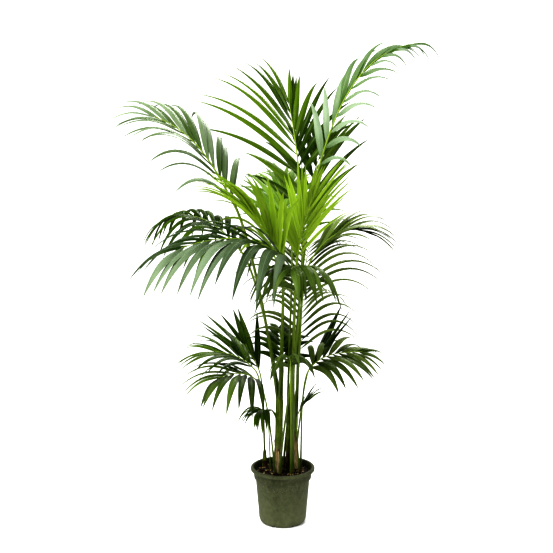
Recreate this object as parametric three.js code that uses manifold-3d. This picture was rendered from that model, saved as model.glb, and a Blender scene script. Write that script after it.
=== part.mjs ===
// A kentia palm in its nursery pot, in millimetres. The origin is the middle of the pot's
// underside, +Z is up and -Y is the front. Several young palms share the pot: each has a short
// stem of dry leaf sheaths or rises straight from the soil as a single leaf stalk, and every
// stalk carries one feathered frond whose leaflets grow from a tapering rib.
import * as THREE from 'three';
import { mergeVertices } from 'three/addons/utils/BufferGeometryUtils.js';
import Module from 'manifold-3d';

const wasm = await Module();
wasm.setup();

const UP = new THREE.Vector3(0, 0, 1);
const SEAT_GAP = 0.3;
const LEAFLET_CLEARANCE = 0.5;
const CORNER_GRID = 1 / 64;
const NARROWEST_FACE = 0.02;

// The pot: a thin moulded shell with a stepped collar and a rolled rim.
const POT_HEIGHT = 210;
const POT_FOOT_RADIUS = 80;
const POT_HEEL_RADIUS = 88;
const POT_SHOULDER_RADIUS = 101;
const POT_COLLAR_RADIUS = 110;
const POT_RIM_RADIUS = 120;
const POT_WALL = 3;
const POT_FLOOR = 4;
const POT_SIDES = 32;
const DRAIN_COUNT = 8;
const DRAIN_WIDTH = 14;
const DRAIN_HEIGHT = 7;
const SOIL_LEVEL = 190;

// How a leaflet and a rib are cut.
const LEAFLET_THICKNESS_SHARE = 0.013;
const RIB_SIDES = 3;
const RIB_RINGS = 7;
const STALK_SIDES = 5;
const STALK_RINGS = 7;
const STEM_SIDES = 8;
const RIB_TIP_RADIUS = 2.2;
const STEM_FLARE = 2.5;

// Stems: the foot on the soil, the top, and the radius at each. The foot flares a little.
const STEMS = {
  stem_front: { foot: [-17, -5], top: [-12, 0, 470], base: 14, head: 15 },
  stem_right: { foot: [24, 35], top: [25, 38, 400], base: 12, head: 13 },
  stem_side: { foot: [51, 38], top: [49, 40, 345], base: 8.5, head: 10 },
  stem_back_left: { foot: [-67, 60], top: [-68, 60, 240], base: 9, head: 8.5 },
};

// Fronds. from: the stem it grows on and the side of the stem's head it stands at, in degrees,
// or its own foot on the soil. neck: where the leaflets start. tip: the end of the rib. rise and
// dip: how steeply the rib climbs at the neck and at the tip, in degrees. stalk: radius of the
// leaf stalk. pairs: leaflets on each side. reach: length of the longest leaflet. spread: angle
// between rib and leaflet at the neck and at the tip. lift: how far the leaflets stand up out of
// the blade. sag: how far they bend down. roll: turn of the blade about its rib. skew: how much
// further than the left leaflets the right ones, seen up the rib, close in on it. trim: the share
// by which the right ones are shorter.
const FRONDS = {
  top_right: {
    stem: 'stem_right', side: -30, neck: [125, 40, 1300], tip: [486, 110, 1778],
    rise: 74, dip: 10, stalk: 5, pairs: 9, reach: 285, width: 30, spread: [38, 2],
    lift: 4, sag: 1.1, roll: -46, trim: 0.35,
  },
  top_centre: {
    stem: 'stem_right', side: 60, neck: [62, 98, 1268], tip: [26, 235, 1572],
    rise: 80, dip: 62, stalk: 5, pairs: 9, reach: 480, width: 26, spread: [47, 8],
    lift: 10, sag: 0.45, roll: 12, skew: 8, trim: 0.3,
  },
  back_right: {
    stem: 'stem_side', side: 90, neck: [81, 110, 1110], tip: [165, 250, 1420],
    rise: 80, dip: 50, stalk: 4, pairs: 6, reach: 360, width: 38, spread: [52, 12],
    lift: 12, sag: 0.4, skew: 8,
  },
  upper_left: {
    stem: 'stem_front', side: 180, neck: [-172, -40, 1187], tip: [-450, -90, 1500],
    rise: 62, dip: 20, stalk: 6, pairs: 9, reach: 350, width: 30, spread: [46, 16],
    lift: 5, sag: 0.9, roll: 38, skew: -4,
  },
  mid_left: {
    stem: 'stem_front', side: 90, neck: [-148, 60, 1005], tip: [-430, 150, 1130],
    rise: 52, dip: -22, stalk: 5, pairs: 8, reach: 330, width: 30, spread: [58, 28],
    lift: 10, sag: 2.1, roll: 10,
  },
  front_left: {
    foot: [-10, -30], neck: [45, -95, 945], tip: [-335, -325, 1060],
    rise: 58, dip: -16, stalk: 4, pairs: 8, reach: 420, width: 42, spread: [48, 16],
    lift: 5, sag: 1.2, roll: 20,
  },
  front_centre: {
    stem: 'stem_side', side: 230, neck: [67, -58, 870], tip: [26, -285, 985],
    rise: 64, dip: -10, stalk: 3.5, pairs: 6, reach: 290, width: 38, spread: [60, 22],
    lift: 5, sag: 2.2, skew: -6,
  },
  bright_left: {
    stem: 'stem_front', side: 270, neck: [-4, -60, 962], tip: [-128, -160, 1200],
    rise: 78, dip: 50, stalk: 5, pairs: 7, reach: 370, width: 25, spread: [40, 8],
    lift: 12, sag: 0.6, skew: -14,
  },
  pale_back: {
    stem: 'stem_front', side: 0, neck: [5, 70, 1050], tip: [0, 210, 1265],
    rise: 80, dip: 50, stalk: 4.5, pairs: 5, reach: 260, width: 26, spread: [44, 12],
    lift: 12, sag: 0.5,
  },
  bright_right: {
    foot: [37, -5], neck: [50, -70, 990], tip: [105, -150, 1225],
    rise: 80, dip: 55, stalk: 6, pairs: 7, reach: 320, width: 22, spread: [42, 8],
    lift: 12, sag: 0.3, skew: 10, trim: 0.15,
  },
  mid_right: {
    stem: 'stem_side', side: 340, neck: [104, 10, 987], tip: [305, 70, 1088],
    rise: 58, dip: -20, stalk: 4, pairs: 7, reach: 340, width: 30, spread: [24, 8],
    lift: 4, sag: 0.9, roll: -8, trim: 0.25,
  },
  low_right_up: {
    foot: [50, 72], neck: [100, 80, 560], tip: [134, 94, 614],
    rise: 66, dip: 62, stalk: 3.5, pairs: 2, reach: 290, width: 44, spread: [16, 5],
    lift: 5, sag: 0.1,
  },
  back_mid: {
    foot: [4, 68], neck: [75, 135, 803], tip: [112, 340, 1020],
    rise: 64, dip: 20, stalk: 4, pairs: 8, reach: 420, width: 19, spread: [56, 30],
    lift: 10, sag: 1.3,
  },
  back_low: {
    foot: [24, 78], neck: [66, 90, 620], tip: [88, 300, 838],
    rise: 64, dip: 20, stalk: 3.5, pairs: 7, reach: 350, width: 19, spread: [52, 28],
    lift: 10, sag: 1.5,
  },
  back_high: {
    stem: 'stem_right', side: 150, neck: [35, 120, 1010], tip: [10, 330, 1290],
    rise: 72, dip: 25, stalk: 4.5, pairs: 6, reach: 300, width: 30, spread: [48, 18],
    lift: 10, sag: 0.8,
  },
  back_left: {
    foot: [-32, 62], neck: [2, 108, 560], tip: [-14, 250, 690],
    rise: 70, dip: 25, stalk: 4, pairs: 6, reach: 175, width: 32, spread: [56, 22],
    lift: 12, sag: 0.9,
  },
  low_left_up: {
    stem: 'stem_back_left', side: 90, neck: [-86, 74, 550], tip: [-142, 140, 650],
    rise: 64, dip: 60, stalk: 3.5, pairs: 4, reach: 290, width: 34, spread: [34, 14],
    lift: 5, sag: 0.1, skew: 14,
  },
  low_left: {
    stem: 'stem_back_left', side: 270, neck: [-104, 18, 575], tip: [-252, 12, 645],
    rise: 48, dip: 6, stalk: 3.5, pairs: 6, reach: 280, width: 28, spread: [58, 20],
    lift: 10, sag: 0.7, roll: 22,
  },
  low_left_front: {
    foot: [-29, -27], neck: [-84, -56, 540], tip: [-224, -172, 590],
    rise: 50, dip: -8, stalk: 3.5, pairs: 6, reach: 260, width: 32, spread: [62, 20],
    lift: 5, sag: 1.05, roll: 10,
  },
  low_right: {
    foot: [68, 24], neck: [98, 20, 574], tip: [300, 40, 640],
    rise: 55, dip: 2, stalk: 3.5, pairs: 7, reach: 215, width: 32, spread: [66, 20],
    lift: 2, sag: 1, roll: -24,
  },
  low_front: {
    foot: [30, -42], neck: [28, -76, 600], tip: [24, -124, 655],
    rise: 76, dip: 40, stalk: 3, pairs: 2, reach: 135, width: 42, spread: [70, 30],
    lift: 8, sag: 2.4,
  },
  small_left: {
    foot: [-46, 20], neck: [-60, 10, 412], tip: [-92, -28, 428],
    rise: 66, dip: -10, stalk: 2.6, pairs: 4, reach: 125, width: 20, spread: [62, 24],
    lift: 5, sag: 2.4,
  },
  small_right: {
    foot: [62, 0], neck: [56, 2, 405], tip: [92, -8, 464],
    rise: 70, dip: 42, stalk: 2.6, pairs: 4, reach: 130, width: 26, spread: [24, 8],
    lift: 5, sag: 0.7,
  },
};

const degrees = THREE.MathUtils.degToRad;
const mix = THREE.MathUtils.lerp;

// A closed solid from rings of points, each ring with as many points, with flat ends. A last
// ring of one point makes a pointed end. Each four-cornered face is split along the diagonal
// that stands out, so that a twisted blade doesn't cut through itself.
function ringSolid(rings) {
  const points = rings.flat();
  const count = rings[0].length;
  const faces = [];
  const starts = [];
  let start = 0;
  for (const ring of rings) {
    starts.push(start);
    start += ring.length;
  }
  for (let side = 1; side < count - 1; side += 1) {
    faces.push(0, side + 1, side);
  }
  for (let r = 0; r < rings.length - 1; r += 1) {
    const low = starts[r];
    const high = starts[r + 1];
    const pointed = rings[r + 1].length === 1;
    for (let side = 0; side < count; side += 1) {
      const next = (side + 1) % count;
      if (pointed) {
        faces.push(low + side, low + next, high);
      } else {
        const [a, b, c, d] = [low + side, low + next, high + next, high + side];
        const corner = points[a];
        const outward = points[b].clone().sub(corner).cross(points[c].clone().sub(corner));
        if (points[d].clone().sub(corner).dot(outward) <= 0) {
          faces.push(a, b, c, a, c, d);
        } else {
          faces.push(a, b, d, b, c, d);
        }
      }
    }
  }
  if (rings[rings.length - 1].length > 1) {
    const last = starts[rings.length - 1];
    for (let side = 1; side < count - 1; side += 1) {
      faces.push(last, last + side, last + side + 1);
    }
  }
  const geometry = new THREE.BufferGeometry();
  const flat = points.flatMap((p) => [p.x, p.y, p.z]);
  geometry.setAttribute('position', new THREE.Float32BufferAttribute(flat, 3));
  geometry.setIndex(faces);
  return geometry;
}

function toSolid(geometry) {
  let plain = geometry.clone();
  for (const name of Object.keys(plain.attributes)) {
    if (name !== 'position') {
      plain.deleteAttribute(name);
    }
  }
  plain = mergeVertices(plain, 1e-4);
  return new wasm.Manifold(new wasm.Mesh({
    numProp: 3,
    vertProperties: new Float32Array(plain.attributes.position.array),
    triVerts: new Uint32Array(plain.index.array),
  }));
}

// A solid's corners on a fine grid, so that no two lie almost together, and its faces.
function snapped(solid) {
  const mesh = solid.getMesh();
  const corners = new Map();
  const spots = [];
  const onGrid = (corner) => {
    const place = Array.from(mesh.vertProperties.slice(3 * corner, 3 * corner + 3));
    return place.map((value) => Math.round(value / CORNER_GRID) * CORNER_GRID);
  };
  const numbered = (spot) => {
    const key = spot.join(' ');
    if (!corners.has(key)) {
      corners.set(key, corners.size);
      spots.push(...spot);
    }
    return corners.get(key);
  };
  const faces = [];
  for (let face = 0; face < mesh.triVerts.length; face += 3) {
    const [a, b, c] = Array.from(mesh.triVerts.slice(face, face + 3), onGrid);
    const names = new Set([a.join(' '), b.join(' '), c.join(' ')]);
    if (names.size === 3) {
      faces.push([numbered(a), numbered(b), numbered(c)]);
    }
  }
  return { spots, faces };
}

function faceTriangle(spots, face) {
  const [a, b, c] = face.map((corner) => new THREE.Vector3().fromArray(spots, 3 * corner));
  return new THREE.Triangle(a, b, c);
}

// The height of a face over its longest side, which is small on a sliver.
function faceHeight(triangle) {
  const { a, b, c } = triangle;
  const longest = Math.max(a.distanceTo(b), b.distanceTo(c), c.distanceTo(a));
  return (2 * triangle.getArea()) / longest;
}

// The faces go in from the top down.
function toGeometry(solid) {
  const { spots, faces } = snapped(solid);
  const height = (face) => face.reduce((sum, corner) => sum + spots[3 * corner + 2], 0);
  faces.sort((one, other) => height(other) - height(one));
  const geometry = new THREE.BufferGeometry();
  geometry.setAttribute('position', new THREE.Float32BufferAttribute(spots, 3));
  geometry.setIndex(faces.flat());
  geometry.computeVertexNormals();
  return geometry;
}

// Whether a solid is one closed surface without slivers once its corners are on the grid: each
// edge runs once in each direction, and every face is reached from the first.
function isWhole(solid) {
  const { spots, faces } = snapped(solid);
  if (faces.some((face) => faceHeight(faceTriangle(spots, face)) < NARROWEST_FACE)) {
    return false;
  }
  const sides = new Map();
  for (const [index, face] of faces.entries()) {
    for (let corner = 0; corner < 3; corner += 1) {
      const key = `${face[corner]} ${face[(corner + 1) % 3]}`;
      if (sides.has(key)) {
        return false;
      }
      sides.set(key, index);
    }
  }
  const reached = new Set([0]);
  const waiting = [0];
  while (waiting.length > 0) {
    const face = faces[waiting.pop()];
    for (let corner = 0; corner < 3; corner += 1) {
      const neighbour = sides.get(`${face[(corner + 1) % 3]} ${face[corner]}`);
      if (neighbour === undefined) {
        return false;
      }
      if (!reached.has(neighbour)) {
        reached.add(neighbour);
        waiting.push(neighbour);
      }
    }
  }
  return reached.size === faces.length;
}

// A spot on a rib as it is cut, straight between its rings.
function ribSpot(curve, share) {
  const step = Math.min(RIB_RINGS - 2, Math.floor(share * (RIB_RINGS - 1)));
  const low = curve.getPoint(step / (RIB_RINGS - 1));
  const high = curve.getPoint((step + 1) / (RIB_RINGS - 1));
  return low.lerp(high, share * (RIB_RINGS - 1) - step);
}

// A round limb along a curve. The first ring lies flat where flatFoot is set.
function limb(curve, radiusAt, sides, ringCount, flatFoot) {
  const rings = [];
  for (let r = 0; r < ringCount; r += 1) {
    const t = r / (ringCount - 1);
    const centre = curve.getPoint(t);
    const along = flatFoot && r === 0 ? UP.clone() : curve.getTangent(t).normalize();
    const across = new THREE.Vector3(0, 1, 0).cross(along);
    if (across.length() < 0.2) {
      across.set(1, 0, 0);
    }
    across.normalize();
    const over = along.clone().cross(across);
    const ring = [];
    for (let side = 0; side < sides; side += 1) {
      const angle = (side / sides) * 2 * Math.PI;
      ring.push(centre.clone()
        .addScaledVector(across, radiusAt(t) * Math.cos(angle))
        .addScaledVector(over, radiusAt(t) * Math.sin(angle)));
    }
    rings.push(ring);
  }
  return toSolid(ringSolid(rings));
}

// Direction at an angle above the horizon, over a heading on the ground.
function pitched(heading, angle) {
  return heading.clone()
    .multiplyScalar(Math.cos(degrees(angle)))
    .addScaledVector(UP, Math.sin(degrees(angle)));
}

// The rib's curve, its heading on the ground, and the curve of the stalk that carries it.
function frondCurves(frond, foot) {
  const neck = new THREE.Vector3(...frond.neck);
  const tip = new THREE.Vector3(...frond.tip);
  const chord = tip.clone().sub(neck);
  const heading = new THREE.Vector3(chord.x, chord.y, 0).normalize();
  const start = pitched(heading, frond.rise);
  const end = pitched(heading, frond.dip);
  const pull = chord.length() * 0.38;
  const rib = new THREE.CubicBezierCurve3(
    neck,
    neck.clone().addScaledVector(start, pull),
    tip.clone().addScaledVector(end, -pull),
    tip,
  );
  const height = neck.z - foot.z;
  const leave = new THREE.Vector3(neck.x - foot.x, neck.y - foot.y, 0).multiplyScalar(0.5 / height);
  leave.add(UP).normalize();
  const seat = neck.clone().addScaledVector(start, -SEAT_GAP);
  const stalk = new THREE.CubicBezierCurve3(
    foot,
    foot.clone().addScaledVector(leave, height * 0.33),
    seat.clone().addScaledVector(start, -height * 0.15),
    seat,
  );
  return { rib, stalk, heading };
}

// One leaflet: a blade with a raised midrib, widest a third of the way along, that bends down
// and turns flat under its own weight. share: how far up the rib it grows. hand: 1 or -1, its
// side of the rib.
function leafletSolid(frond, curves, share, hand, options) {
  const { grow, steer, swell } = options;
  const along = curves.rib.getTangent(share).normalize();
  const roll = degrees(frond.roll ?? 0);
  const level = curves.heading.clone().cross(UP).normalize();
  const face = level.clone().cross(along).normalize();
  const aside = level.multiplyScalar(Math.cos(roll)).addScaledVector(face, Math.sin(roll));
  const over = aside.clone().cross(along).normalize();
  const close = hand * (frond.skew ?? 0);
  const spread = degrees(mix(frond.spread[0] - close, frond.spread[1] - close / 2, share ** 0.9));
  const lift = degrees(frond.lift + steer);
  const swing = aside.clone()
    .multiplyScalar(hand * Math.cos(lift))
    .addScaledVector(over, Math.sin(lift));
  const away = along.clone().multiplyScalar(Math.cos(spread)).addScaledVector(swing, Math.sin(spread));
  const edge = along.clone().multiplyScalar(Math.sin(spread)).addScaledVector(swing, -Math.cos(spread));
  const flat = away.clone().cross(UP).normalize();
  flat.multiplyScalar(Math.sign(flat.dot(edge)));
  const twist = Math.atan2(edge.dot(flat.clone().cross(away)), edge.dot(flat));
  const profile = 0.6 + 0.4 * Math.sin(Math.PI * Math.min(1, 0.12 + share * 0.95) ** 0.8);
  const kept = hand > 0 ? 1 - (frond.trim ?? 0) : 1;
  const length = frond.reach * profile * kept * grow;
  const width = frond.width * (0.55 + 0.45 * profile) + swell;
  const thickness = length * LEAFLET_THICKNESS_SHARE + swell;
  const steps = [0.32, 0.34, 0.34];
  const widths = [0.13, 1, 0.72];
  const heights = [0.4, 1, 0.8];
  let spot = ribSpot(curves.rib, share).addScaledVector(away, -0.5);
  const rings = [];
  steps.forEach((step, index) => {
    const bend = frond.sag * (index / 2) ** 1.2;
    const heading = away.clone().addScaledVector(UP, -bend).normalize();
    const turn = twist * (1 - 0.25 * index * Math.min(1, frond.sag));
    const flank = flat.clone()
      .multiplyScalar(Math.cos(turn))
      .addScaledVector(flat.clone().cross(heading), Math.sin(turn));
    const back = flank.clone().cross(heading).multiplyScalar(-hand).normalize();
    const half = (width * widths[index]) / 2;
    const ring = [
      spot.clone().addScaledVector(flank, half),
      spot.clone().addScaledVector(back, thickness * heights[index]),
      spot.clone().addScaledVector(flank, -half),
    ];
    rings.push(hand > 0 ? ring : ring.reverse());
    spot = spot.clone().addScaledVector(heading, length * step);
  });
  rings.push([spot]);
  return toSolid(ringSolid(rings));
}

const boxOf = (solid) => {
  const box = solid.boundingBox();
  return new THREE.Box3(new THREE.Vector3(...box.min), new THREE.Vector3(...box.max));
};

const touches = (solid, others) => {
  const box = boxOf(solid);
  return others.some((other) => box.intersectsBox(other.box)
    && !solid.intersect(other.solid).isEmpty());
};

// The blade with one more leaflet, at the first of the ways to turn and trim it that has room
// between the others. Where none has, the blade stays as it is.
const LEAFLET_WAYS = [
  { grow: 1, steer: 0 },
  { grow: 1, steer: 9 },
  { grow: 0.92, steer: -9 },
  { grow: 0.85, steer: 18 },
  { grow: 1, steer: -16 },
  { grow: 0.95, steer: 27 },
  { grow: 0.7, steer: 4 },
];
const LEAFLET_SHIFTS = [0, 0.006, -0.006, 0.012, -0.012, 0.018, -0.018, 0.025, -0.025];

function withLeaflet(blade, frond, curves, share, hand, others) {
  for (const { grow, steer } of LEAFLET_WAYS) {
    const room = leafletSolid(frond, curves, share, hand, { grow, steer, swell: LEAFLET_CLEARANCE });
    if (touches(room, others)) {
      continue;
    }
    for (const shift of LEAFLET_SHIFTS) {
      const place = THREE.MathUtils.clamp(share + shift, 0.01, 0.985);
      const leaflet = leafletSolid(frond, curves, place, hand, { grow, steer, swell: 0 });
      const joined = blade.add(leaflet);
      if (isWhole(joined) && !touches(leaflet, others)) {
        return joined;
      }
    }
  }
  return blade;
}

// The pot.
function potGeometry() {
  const outer = [
    [0, 0],
    [POT_FOOT_RADIUS, 0],
    [POT_HEEL_RADIUS, 14],
    [POT_SHOULDER_RADIUS, 160],
    [POT_COLLAR_RADIUS - 4, 168],
    [POT_COLLAR_RADIUS, 196],
    [POT_RIM_RADIUS, 198],
    [POT_RIM_RADIUS, 206],
    [POT_RIM_RADIUS - 4, POT_HEIGHT],
    [POT_RIM_RADIUS - 9, POT_HEIGHT],
  ];
  const inner = [
    [POT_COLLAR_RADIUS - POT_WALL, 205],
    [POT_COLLAR_RADIUS - POT_WALL - 4, 166],
    [POT_SHOULDER_RADIUS - POT_WALL, 160],
    [POT_HEEL_RADIUS - POT_WALL, 18],
    [POT_FOOT_RADIUS - POT_WALL, POT_FLOOR],
    [0, POT_FLOOR],
  ];
  const profile = [...outer, ...inner].map(([radius, z]) => new THREE.Vector2(radius, z));
  const shell = new THREE.LatheGeometry(profile, POT_SIDES);
  shell.rotateX(Math.PI / 2);
  let solid = toSolid(shell);
  for (let hole = 0; hole < DRAIN_COUNT; hole += 1) {
    const cutter = new THREE.BoxGeometry(16, DRAIN_WIDTH, 2 * DRAIN_HEIGHT);
    cutter.translate(POT_FOOT_RADIUS + 4, 0, 0);
    cutter.rotateZ(((hole + 0.5) / DRAIN_COUNT) * 2 * Math.PI);
    solid = solid.subtract(toSolid(cutter));
  }
  return toGeometry(solid);
}

function soilGeometry() {
  const wall = POT_WALL + SEAT_GAP;
  const profile = [
    [0, POT_FLOOR + SEAT_GAP],
    [POT_FOOT_RADIUS - wall - 6, POT_FLOOR + SEAT_GAP],
    [POT_HEEL_RADIUS - wall, 18],
    [POT_SHOULDER_RADIUS - wall, 160],
    [POT_COLLAR_RADIUS - wall - 4, 166],
    [POT_COLLAR_RADIUS - wall - 2, SOIL_LEVEL],
    [0, SOIL_LEVEL],
  ].map(([radius, z]) => new THREE.Vector2(radius, z));
  const fill = new THREE.LatheGeometry(profile, POT_SIDES);
  fill.rotateX(Math.PI / 2);
  return toGeometry(toSolid(fill));
}

const group = new THREE.Group();
group.name = 'potted_kentia_palm';

const COLOURS = {
  pot: 0x46523a,
  soil: 0x2a1a10,
  stem: 0x8a7448,
  stalk: 0x5a8a1e,
  frond: 0x2f6a16,
  bright: 0x6aa01c,
};

function place(name, geometry, colour, roughness) {
  const material = new THREE.MeshStandardMaterial({ color: colour, roughness });
  const mesh = new THREE.Mesh(geometry, material);
  mesh.name = name;
  group.add(mesh);
}

place('pot', potGeometry(), COLOURS.pot, 0.6);
place('soil', soilGeometry(), COLOURS.soil, 0.95);

const placed = {};
const soilTop = SOIL_LEVEL + SEAT_GAP;

for (const [name, stem] of Object.entries(STEMS)) {
  const foot = new THREE.Vector3(...stem.foot, soilTop);
  const curve = new THREE.LineCurve3(foot, new THREE.Vector3(...stem.top));
  const flare = (t) => mix(stem.base, stem.head, t) + STEM_FLARE * Math.max(0, 1 - t * 4);
  const solid = limb(curve, flare, STEM_SIDES, 5, true);
  placed[name] = { solid, box: boxOf(solid) };
  place(name, toGeometry(solid), COLOURS.stem, 0.8);
}

// Stalks and bare ribs first, so that every leaflet can keep clear of them.
const grown = Object.entries(FRONDS).map(([name, frond]) => {
  let foot;
  if (frond.stem) {
    const stem = STEMS[frond.stem];
    const ring = stem.head - frond.stalk - 1.2;
    const angle = degrees(frond.side);
    foot = new THREE.Vector3(
      stem.top[0] + ring * Math.cos(angle),
      stem.top[1] + ring * Math.sin(angle),
      stem.top[2] + SEAT_GAP,
    );
  } else {
    foot = new THREE.Vector3(...frond.foot, soilTop);
  }
  const curves = frondCurves(frond, foot);
  const flare = frond.stem ? 0 : 2.5;
  const stalkRadius = (t) => frond.stalk * mix(1, 0.8, t) + flare * Math.max(0, 1 - t * 9);
  const ribRadius = (t) => mix(frond.stalk * 0.8, RIB_TIP_RADIUS, t);
  const stalk = limb(curves.stalk, stalkRadius, STALK_SIDES, STALK_RINGS, true);
  const rib = limb(curves.rib, ribRadius, RIB_SIDES, RIB_RINGS, false);
  placed[`stalk_${name}`] = { solid: stalk, box: boxOf(stalk) };
  placed[`frond_${name}`] = { solid: rib, box: boxOf(rib) };
  place(`stalk_${name}`, toGeometry(stalk), COLOURS.stalk, 0.5);
  return { name, frond, curves };
});

for (const { name, frond, curves } of grown) {
  const key = `frond_${name}`;
  const others = Object.entries(placed).filter(([other]) => other !== key).map(([, item]) => item);
  let blade = placed[key].solid;
  for (const hand of [1, -1]) {
    for (let pair = 0; pair < frond.pairs; pair += 1) {
      const offset = hand > 0 ? 0.25 : 0.6;
      const share = Math.min(0.985, mix(0.03, 1, (pair + offset) / (frond.pairs - 0.2)));
      blade = withLeaflet(blade, frond, curves, share, hand, others);
    }
  }
  placed[key] = { solid: blade, box: boxOf(blade) };
  const bright = name.startsWith('bright') || name.startsWith('pale');
  place(key, toGeometry(blade), bright ? COLOURS.bright : COLOURS.frond, 0.45);
}

export default group;
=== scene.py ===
# %% [markdown]
# # A kentia palm in its nursery pot
# A kentia is grown as a clump. Several young palms share one pot, and each frond is a long
# smooth stalk that turns into the rib of a feather of narrow leaflets. This lesson starts from
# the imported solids, which give the places and sizes, and grows the fine plant on them by the
# same rule. The plant is worked out in millimetres, up from the pot's underside, and turned to
# metres when a mesh is made. The camera, the lamps and the finishes are told in metres.

# %% Load the solids
import math

import bpy
import numpy as np
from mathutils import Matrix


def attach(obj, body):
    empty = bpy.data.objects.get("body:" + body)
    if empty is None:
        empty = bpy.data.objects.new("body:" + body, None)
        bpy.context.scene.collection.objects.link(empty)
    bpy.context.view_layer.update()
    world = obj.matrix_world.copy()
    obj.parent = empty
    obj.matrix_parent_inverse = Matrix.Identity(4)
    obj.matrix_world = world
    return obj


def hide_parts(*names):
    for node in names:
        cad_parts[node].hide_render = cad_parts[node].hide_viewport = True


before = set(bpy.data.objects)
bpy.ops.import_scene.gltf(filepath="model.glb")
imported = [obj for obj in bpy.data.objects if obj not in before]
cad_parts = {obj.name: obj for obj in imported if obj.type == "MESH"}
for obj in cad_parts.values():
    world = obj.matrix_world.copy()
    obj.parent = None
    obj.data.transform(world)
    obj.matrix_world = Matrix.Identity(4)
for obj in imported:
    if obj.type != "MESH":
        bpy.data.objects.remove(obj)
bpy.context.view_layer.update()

# %% [markdown]
# ## The view
# The photograph was taken from a little above the middle of the plant, tilted slightly down.
# The pot's rim shows as a narrow ellipse, and the ratio of that ellipse's height to its width,
# together with the foot of the pot, gives the height and tilt of the camera.

# %% Camera
PHOTO_SIDE_PIXELS = 553
FOCAL_LENGTH_PIXELS = 879
SENSOR_WIDTH = 36
CAMERA_PLACE = (-0.023, -3.2, 1.304)
CAMERA_TILT_DOWN = 6.71


def placed(name, data):
    made = bpy.data.objects.new(name, data)
    bpy.context.scene.collection.objects.link(made)
    return made


camera_data = bpy.data.cameras.new("view")
camera_data.sensor_width = SENSOR_WIDTH
camera_data.lens = SENSOR_WIDTH * FOCAL_LENGTH_PIXELS / PHOTO_SIDE_PIXELS
camera = placed("view", camera_data)
camera.location = CAMERA_PLACE
camera.rotation_euler = (math.radians(90 - CAMERA_TILT_DOWN), 0, 0)
bpy.context.scene.camera = camera
print("lens", round(camera_data.lens, 1), "mm")

# %% [markdown]
# ## Shader maths
# A material is a tree of nodes, which is slow to read when it is wired by hand. This small
# class wraps one value on its way through the tree, so that a plain sum such as
# `0.3 + 0.2 * streaks` adds the Math nodes itself. Everything else comes from one method that
# makes a node of any kind, sets its options first and then its inputs.

# %% A value in a material
class Flow:
    """A value on its way through a tree of nodes. Arithmetic on it adds Math nodes."""

    def __init__(self, tree, socket=None):
        self.tree = tree
        self.socket = socket

    def node(self, kind, options, inputs, output=0):
        made = self.tree.nodes.new(kind)
        for name, value in options.items():
            if name == "stops":
                ramp = made.color_ramp.elements
                for _ in range(len(value) - len(ramp)):
                    ramp.new(1)
                for element, (position, colour) in zip(ramp, value):
                    element.position = position
                    element.color = (*colour, 1)
            else:
                setattr(made, name, value)
        for name, value in inputs.items():
            if isinstance(value, Flow):
                self.tree.links.new(value.socket, made.inputs[name])
            else:
                made.inputs[name].default_value = value
        return Flow(self.tree, made.outputs[output] if made.outputs else None)

    def math(self, operation, *values):
        options = {"operation": operation}
        return self.node("ShaderNodeMath", options, dict(enumerate(values)))

    def __add__(self, other):
        return self.math("ADD", self, other)

    def __sub__(self, other):
        return self.math("SUBTRACT", self, other)

    def __rsub__(self, other):
        return self.math("SUBTRACT", other, self)

    def __mul__(self, other):
        return self.math("MULTIPLY", self, other)

    def __truediv__(self, other):
        return self.math("DIVIDE", self, other)

    __radd__ = __add__
    __rmul__ = __mul__

    def clamped(self):
        return self.math("MINIMUM", self.math("MAXIMUM", self, 0), 1)

    def sine(self):
        return self.math("SINE", self)


# %% [markdown]
# ## The light
# Product photographs of plants are lit in front of white walls, with large softboxes above and a
# dark ceiling, and they are printed with strong contrast. A world that is white near the
# horizon and dim overhead does the walls and the ceiling.

# %% Walls and ceiling
WALL_WHITE = 1.02
CEILING_GREY = 0.3
WALL_TOP = 0.38
CEILING_START = 0.75

world = bpy.data.worlds.new("studio")
world.use_nodes = True
world.node_tree.nodes.clear()
studio = Flow(world.node_tree)
direction = studio.node("ShaderNodeTexCoord", {}, {}, output="Generated")
steepness = studio.node("ShaderNodeSeparateXYZ", {}, {"Vector": direction}, output="Z")
strength = studio.node("ShaderNodeMapRange", {"interpolation_type": "SMOOTHSTEP"}, {
    "Value": steepness, "From Min": WALL_TOP, "From Max": CEILING_START,
    "To Min": WALL_WHITE, "To Max": CEILING_GREY,
})
walls = studio.node("ShaderNodeBackground", {}, {"Color": (1, 1, 1, 1), "Strength": strength})
studio.node("ShaderNodeOutputWorld", {}, {"Surface": walls})
bpy.context.scene.world = world
bpy.context.scene.view_settings.view_transform = "Standard"
bpy.context.scene.view_settings.look = "Very High Contrast"
print("walls", WALL_WHITE, "ceiling", CEILING_GREY)

# %% [markdown]
# A wide lamp above and in front gives the grey sheen on the leaflets that face up, and one
# behind lets the young leaves glow. Both look at the middle of the plant.

# %% Lamps
LAMPS = {
    "softbox_front": dict(place=(-1.9, -1.9, 3.7), size=2.2, watts=185),
    "softbox_behind": dict(place=(0.6, 2.2, 3.3), size=1.8, watts=85),
}
LAMP_TARGET = np.array([0.0, 0.0, 1.0])

for lamp_name, lamp in LAMPS.items():
    lamp_data = bpy.data.lights.new(lamp_name, "AREA")
    lamp_data.size = lamp["size"]
    lamp_data.energy = lamp["watts"]
    lamp_object = placed(lamp_name, lamp_data)
    lamp_object.location = lamp["place"]
    aim = LAMP_TARGET - np.array(lamp["place"])
    turn = math.atan2(aim[0], -aim[1]) + math.pi
    drop = math.atan2(math.hypot(aim[0], aim[1]), -aim[2])
    lamp_object.rotation_euler = (drop, 0, turn)
print("lamps", ", ".join(LAMPS))

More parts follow.
